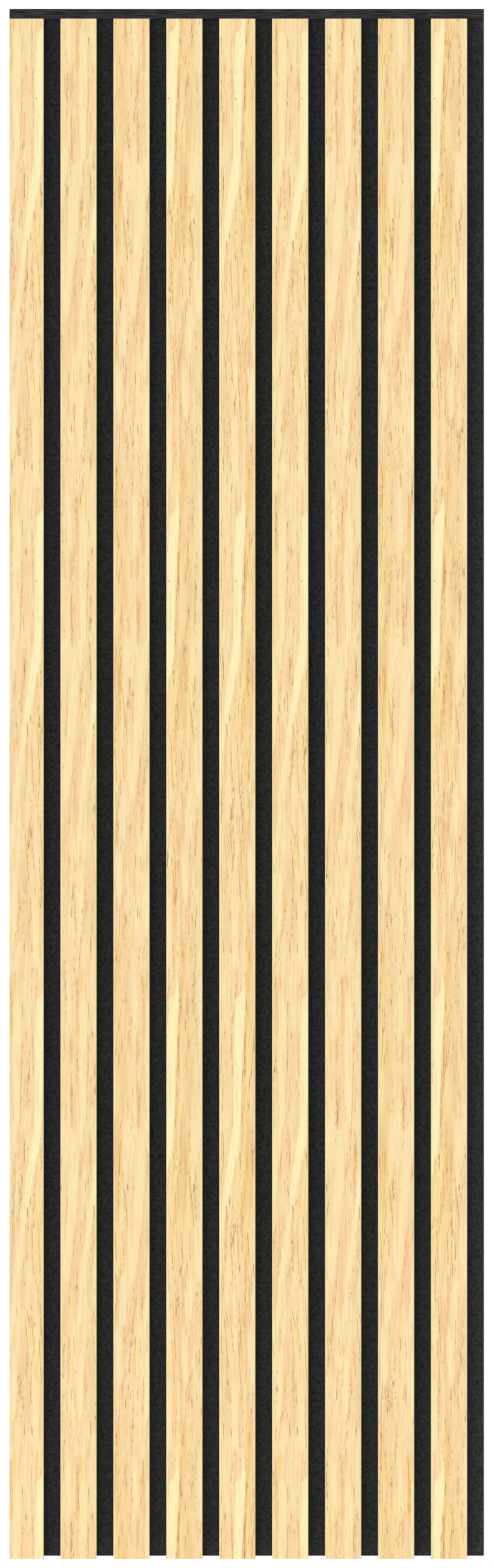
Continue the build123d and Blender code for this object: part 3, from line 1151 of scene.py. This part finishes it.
class Workpiece:
    """A mesh that is modelled with Blender's own tools, from a block on."""

    def __init__(self, name: str, low: Vector, high: Vector) -> None:
        """Adds the block.

        Args:
            name: the piece's name.
            low: the block's lowest corner.
            high: its highest corner.
        """
        bpy.ops.object.select_all(action="DESELECT")
        bpy.ops.mesh.primitive_cube_add(size=1.0, location=(low + high) / 2)
        self.thing = bpy.context.active_object
        self.thing.name = name
        self.thing.scale = high - low
        bpy.ops.object.transform_apply(location=True, rotation=True, scale=True)

    @contextmanager
    def shaping(self) -> Iterator[None]:
        """Opens edit mode for a while."""
        bpy.ops.object.mode_set(mode="EDIT")
        yield
        bpy.ops.object.mode_set(mode="OBJECT")

    def pick_edges(self, wanted: Callable[[Vector, Vector], bool]) -> None:
        """Selects the edges whose two ends pass a test, and nothing else."""
        bpy.ops.mesh.select_mode(type="EDGE")
        bpy.ops.mesh.select_all(action="DESELECT")
        mesh = bmesh.from_edit_mesh(self.thing.data)
        for edge in mesh.edges:
            if wanted(edge.verts[0].co, edge.verts[1].co):
                edge.select_set(True)
        bmesh.update_edit_mesh(self.thing.data)

    def pick_faces(self, wanted: Callable[[Vector, Vector], bool]) -> None:
        """Selects the faces whose middle and normal pass a test, and nothing else."""
        bpy.ops.mesh.select_mode(type="FACE")
        bpy.ops.mesh.select_all(action="DESELECT")
        mesh = bmesh.from_edit_mesh(self.thing.data)
        for face in mesh.faces:
            if wanted(face.calc_center_median(), face.normal):
                face.select_set(True)
        bmesh.update_edit_mesh(self.thing.data)

    def cut_across(self, x: float) -> None:
        """Cuts every face along an upright plane at that place across."""
        bpy.ops.mesh.select_all(action="SELECT")
        bpy.ops.mesh.bisect(plane_co=(x, 0, 0), plane_no=(1, 0, 0))

    def press(
        self, depth: float, share: Callable[[Vector], float], cloud: float = 0.0, rest: float = 0.0
    ) -> None:
        """Moves the surface along Y, at each point by a share of the depth.

        Args:
            depth: how far the surface moves.
            share: the share at a point, from 0 to 1.
            cloud: how wide the clouds are that the depth varies by, in metres, or 0 for none.
            rest: the cloud level that doesn't move.
        """
        group = self.thing.vertex_groups.new(name="pressed")
        for vertex in self.thing.data.vertices:
            weight = share(vertex.co)
            if weight > 0:
                group.add([vertex.index], weight, "REPLACE")
        change = self.thing.modifiers.new("pressed", "DISPLACE")
        change.direction = "Y"
        change.strength = depth
        change.mid_level = rest
        change.vertex_group = group.name
        if cloud:
            change.texture = bpy.data.textures.new("nap", "CLOUDS")
            change.texture.noise_scale = cloud
            change.texture_coords = "LOCAL"
        bpy.ops.object.modifier_apply(modifier=change.name)
        self.thing.vertex_groups.clear()

    def repeat(self, places: Sequence[Matrix]) -> None:
        """Puts a copy of the shape at each place instead of the shape itself."""
        mesh = self.thing.data
        points = [vertex.co.copy() for vertex in mesh.vertices]
        faces = [tuple(face.vertices) for face in mesh.polygons]
        all_points = [place @ point for place in places for point in points]
        all_faces = [
            tuple(number + copy * len(points) for number in face)
            for copy in range(len(places)) for face in faces
        ]
        mesh.clear_geometry()
        mesh.from_pydata(all_points, [], all_faces)
        mesh.update()

    def finish(
        self, material: bpy.types.Material, slot: str, *nodes: str, smooth: float = 35.0
    ) -> bpy.types.Object:
        """Smooths and dresses the piece and joins it to the frame.

        Args:
            material: its finish.
            slot: not used.
            nodes: the solids that it stands for.
            smooth: the angle in degrees above which an edge stays sharp.

        Returns:
            The finished piece.
        """
        bpy.ops.object.shade_smooth_by_angle(angle=math.radians(smooth))
        self.thing.data.materials.append(material)
        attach(self.thing, BODY)
        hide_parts(*nodes)
        LOG.info("%s: %d faces", self.thing.name, len(self.thing.data.polygons))
        return self.thing


def fade(value: float, start: float, end: float) -> float:
    """A smooth step from 0 at the start to 1 at the end."""
    share = min(max((value - start) / (end - start), 0.0), 1.0)
    return share * share * (3 - 2 * share)


@dataclass
class WireStaples:
    """The wire staples that hold the slats and the rail from behind."""

    crown: float = 10.0 * MM
    wire_width: float = 1.2 * MM
    wire_thickness: float = 0.8 * MM
    sunk: float = 0.3 * MM
    point: float = 1.0 * MM
    point_share: float = 0.2
    bite: float = 7.0 * MM
    shoulder: float = 0.6 * MM
    arris: float = 0.12 * MM
    per_slat: int = 6
    slat_inset: float = 50.0 * MM
    on_rail: int = 4
    rail_inset: float = 45.0 * MM
    near: float = 0.1 * MM

    def places(self) -> list[Vector]:
        """The middle of each staple's crown, seen on the felt's back.

        Returns:
            The places, with Y as 0.
        """
        found = []
        for low, high in SLAT_BOXES:
            for step in range(self.per_slat):
                run = high.z - low.z - 2 * self.slat_inset
                height = low.z + self.slat_inset + run * step / (self.per_slat - 1)
                found.append(Vector(((low.x + high.x) / 2, 0, height)))
        for step in range(self.on_rail):
            run = RAIL_HIGH.x - RAIL_LOW.x - 2 * self.rail_inset
            across = RAIL_LOW.x + self.rail_inset + run * step / (self.on_rail - 1)
            found.append(Vector((across, 0, (RAIL_LOW.z + RAIL_HIGH.z) / 2)))
        return found

    def build(self, material: bpy.types.Material) -> bpy.types.Object:
        """Bends one staple and copies it to every place.

        Args:
            material: the finish of the wire.

        Returns:
            The staples as one piece.
        """
        half, thick = self.crown / 2, self.wire_thickness
        back = FELT_HIGH.y - self.sunk
        leg_end = FELT_LOW.y - self.bite
        piece = Workpiece("wire_staples", Vector((-half, back - thick, -self.wire_width / 2)),
                          Vector((half, back, self.wire_width / 2)))
        with piece.shaping():
            for side in (-1, 1):
                piece.cut_across(side * (half - thick))
            piece.pick_faces(lambda middle, normal: normal.y < -0.9 and abs(middle.x) > half - thick)
            for step in (leg_end + self.point - (back - thick), -self.point):
                bpy.ops.mesh.extrude_region_move(TRANSFORM_OT_translate={"value": (0, step, 0)})
            for side in (-1, 1):
                piece.pick_faces(lambda middle, normal: normal.y < -0.9 and middle.y < leg_end + self.near
                                 and side * middle.x > 0)
                outer = (side * half, leg_end, 0)
                bpy.ops.transform.resize(value=(self.point_share, 1, 1), center_override=outer)
            piece.pick_edges(lambda a, b: min(a.y, b.y) > back - self.near
                             and min(abs(a.x), abs(b.x)) > half - self.near)
            bpy.ops.mesh.bevel(offset=self.shoulder, segments=3, affect="EDGES")
        rounding = piece.thing.modifiers.new("arris", "BEVEL")
        rounding.width = self.arris
        rounding.segments = 1
        rounding.limit_method = "ANGLE"
        bpy.ops.object.modifier_apply(modifier=rounding.name)
        piece.repeat([Matrix.Translation(place) for place in self.places()])
        return piece.finish(material, "staples", "staples")


@dataclass
class FeltSheet:
    """The pressed felt board that carries the slats.

    It swells between them and is dented where a staple holds it. Its rows are cut in steps: edges above a
    length, and the number of cuts.
    """

    staples: list[Vector]
    rounding: float = 0.6 * MM
    gap_cuts: int = 4
    slat_cuts: int = 2
    row_steps: tuple[tuple[float, int], ...] = ((500 * MM, 99), (8 * MM, 2))
    layer_cuts: int = 2
    dent_cuts: int = 4
    shortest_cut: float = 2.0 * MM
    thinnest_layer: float = 5.0 * MM
    swell: float = 0.35 * MM
    swell_start: float = 6.0 * MM
    nap: float = 0.2 * MM
    nap_size: float = 4.0 * MM
    dent: float = 0.75 * MM
    dent_reach: float = 3.0 * MM
    dent_rim: float = 0.6 * MM
    crown_half: float = 4.4 * MM
    near: float = 0.01 * MM

    def columns(self) -> list[tuple[float, float, bool]]:
        """The upright strips of the board: their left and right, and whether they lie open between slats."""
        found = []
        for number, (low, high) in enumerate(SLAT_BOXES):
            last = number + 1 == len(SLAT_BOXES)
            found.append((low.x, high.x, False))
            found.append((high.x, FELT_HIGH.x if last else SLAT_BOXES[number + 1][0].x, True))
        return found

    def build(self, material: bpy.types.Material) -> bpy.types.Object:
        """Cuts the board into a fine net and shapes its faces.

        Args:
            material: the finish of the felt.

        Returns:
            The felt sheet.
        """
        piece = Workpiece("felt_sheet", FELT_LOW, FELT_HIGH)
        with piece.shaping():
            bpy.ops.mesh.bevel(offset=self.rounding, segments=2, affect="EDGES")
            self.cut_net(piece)
        piece.press(-self.swell, self.swollen)
        piece.press(-self.nap, self.open_front, cloud=self.nap_size, rest=0.5)
        piece.press(self.nap, lambda point: float(point.y > -self.near), cloud=self.nap_size, rest=1.0)
        piece.press(-self.dent, self.dented)
        return piece.finish(material, "felt", "felt_backing")

    def cut_net(self, piece: Workpiece) -> None:
        """Cuts the board along the slats' sides, then into columns, rows and layers, finest at the staples.

        Args:
            piece: the board, in edit mode.
        """

        def runs(a: Vector, b: Vector, way: int) -> float:
            """The edge's length if it runs that way, and otherwise 0."""
            gap = b - a
            return abs(gap[way]) if gap.length - abs(gap[way]) < self.near else 0.0

        for left, right, open_gap in self.columns():
            if right < FELT_HIGH.x - self.near:
                piece.cut_across(right)
        for left, right, open_gap in self.columns():
            piece.pick_edges(lambda a, b: runs(a, b, 0) > self.shortest_cut and left - MM < min(a.x, b.x)
                             and max(a.x, b.x) < right + MM)
            bpy.ops.mesh.subdivide(number_cuts=self.gap_cuts if open_gap else self.slat_cuts)
        for longest, cuts in self.row_steps:
            piece.pick_edges(lambda a, b: runs(a, b, 2) > longest)
            bpy.ops.mesh.subdivide(number_cuts=cuts)
        piece.pick_edges(lambda a, b: runs(a, b, 1) > self.thinnest_layer)
        bpy.ops.mesh.subdivide(number_cuts=self.layer_cuts)
        piece.pick_faces(lambda middle, normal: normal.y > 0.9
                         and self.from_crown(middle) < 2 * self.dent_reach)
        bpy.ops.mesh.subdivide(number_cuts=self.dent_cuts)

    def from_crown(self, point: Vector) -> float:
        """How far a point lies from the nearest staple's crown, seen on the felt's back."""
        return min(
            math.hypot(max(abs(point.x - place.x) - self.crown_half, 0.0), point.z - place.z)
            for place in self.staples
        )

    def open_front(self, point: Vector) -> float:
        """Whether a point lies on the felt's front between two slats or on the margin, below the rail."""
        in_gap = any(left + self.near < point.x < right for left, right, gap in self.columns() if gap)
        return float(in_gap and point.y < FELT_LOW.y + self.near and point.z < RAIL_LOW.z)

    def swollen(self, point: Vector) -> float:
        """The share of the swell at a point."""
        if not self.open_front(point):
            return 0.0
        left, right = next((left, right) for left, right, gap in self.columns() if gap and point.x < right)
        across = (point.x - left) / (right - left)
        rise = math.sin(math.pi * across) ** 0.6
        return rise * fade(RAIL_LOW.z - point.z, 0.0, self.swell_start)

    def dented(self, point: Vector) -> float:
        """The share of the dent at a point on the felt's back."""
        if point.y < -2 * self.nap:
            return 0.0
        return fade(self.dent_reach - self.from_crown(point), 0.0, self.dent_reach - self.dent_rim)


@dataclass
class Studio:
    """A white room with soft light from the left, and a camera straight in front of the panel."""

    frame_pixels: tuple[int, int] = (812, 2576)
    panel_left_pixel: float = 15.6
    panel_top_pixel: float = 14.72
    panel_foot_pixel: float = 2561.1
    camera_distance: float = 3.0
    sky_power: float = 1.02
    sun_side: float = 34.0
    sun_height: float = 14.0
    sun_softness: float = 45.0
    sun_power: float = 1.5
    floor_half: float = 12.0
    floor_white: float = 0.92
    floor_glow: float = 0.2
    glow_near_panel: float = 0.4
    glow_reach: float = 0.8
    pixel_blur: float = 1.1

    def build(self) -> None:
        """Makes the light, the floor and the camera."""
        self.set_light()
        self.set_floor()
        self.set_camera()

    def set_light(self) -> None:
        """A white sky all round, and one broad soft lamp from the left."""
        scene = bpy.context.scene
        scene.view_settings.view_transform = "Standard"
        world = bpy.data.worlds.new("white_room")
        world.use_nodes = True
        world.node_tree.nodes["Background"].inputs["Color"].default_value = (1, 1, 1, 1)
        world.node_tree.nodes["Background"].inputs["Strength"].default_value = self.sky_power
        scene.world = world
        lamp = bpy.data.lights.new("soft_lamp", "SUN")
        lamp.energy = self.sun_power
        lamp.angle = math.radians(self.sun_softness)
        holder = bpy.data.objects.new("soft_lamp", lamp)
        holder.rotation_euler = Euler((math.radians(90 - self.sun_height), 0, math.radians(-self.sun_side)))
        scene.collection.objects.link(holder)

    def set_floor(self) -> None:
        """A wide pale floor under the slats. It glows, most strongly near the panel, as painted light that
        brightens the panel's lower part and fills the floor's contact shadow.
        """
        bpy.ops.object.select_all(action="DESELECT")
        bpy.ops.mesh.primitive_plane_add(size=2 * self.floor_half, location=(0, 0, SLAT_FOOT))
        floor = bpy.context.active_object
        floor.name = "pale_floor"
        made = Finish("pale_floor")
        made.shader["Base Color"].default_value = (self.floor_white, self.floor_white, self.floor_white, 1)
        made.shader["Roughness"].default_value = 0.9
        # Painted light: the floor glows more strongly near the panel, so its contact shadow fades and the
        # panel's foot is lit.
        away = made.distance(made.position, (0.0, SLAT_FRONT, 0.0))
        made.feed(made.shader["Emission Color"],
                  made.grey(made.rise(away, 0.0, self.glow_reach, self.glow_near_panel, self.floor_glow)))
        made.shader["Emission Strength"].default_value = 1.0
        floor.data.materials.append(made.material)

    def set_camera(self) -> None:
        """A straight front view at the photograph's scale and place."""
        low, high = CAD_BOX
        across, down = self.frame_pixels
        pixel = (high.z - low.z) / (self.panel_foot_pixel - self.panel_top_pixel)
        view = bpy.data.cameras.new("front_camera")
        view.type = "ORTHO"
        view.sensor_fit = "VERTICAL"
        view.ortho_scale = down * pixel
        holder = bpy.data.objects.new("front_camera", view)
        x = low.x + (across / 2 - self.panel_left_pixel) * pixel
        z = high.z - (down / 2 - self.panel_top_pixel) * pixel
        holder.location = (x, low.y - self.camera_distance, z)
        holder.rotation_euler = Euler((math.radians(90), 0, 0))
        bpy.context.scene.collection.objects.link(holder)
        bpy.context.scene.camera = holder
        bpy.context.scene.cycles.filter_width = self.pixel_blur


def dress(node: str, finish: bpy.types.Material) -> None:
    """Gives a solid of the frame its finish."""
    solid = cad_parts[node]
    solid.data.materials.clear()
    solid.data.materials.append(finish)
    LOG.info("%s: %d faces", node, len(solid.data.polygons))


def main() -> None:
    """Builds the panel and its studio in order."""
    logging.basicConfig(level=logging.INFO, format="%(message)s")
    wood = VeneerFinish().material()
    for node in SLAT_NODES:
        dress(node, wood)
    dress("top_rail", RailFinish().material())
    staples = WireStaples()
    FeltSheet(staples.places()).build(FeltFinish().material())
    staples.build(WireFinish().material())
    Studio().build()
    LOG.info("panel dressed")


if __name__ == "__main__":
    main()
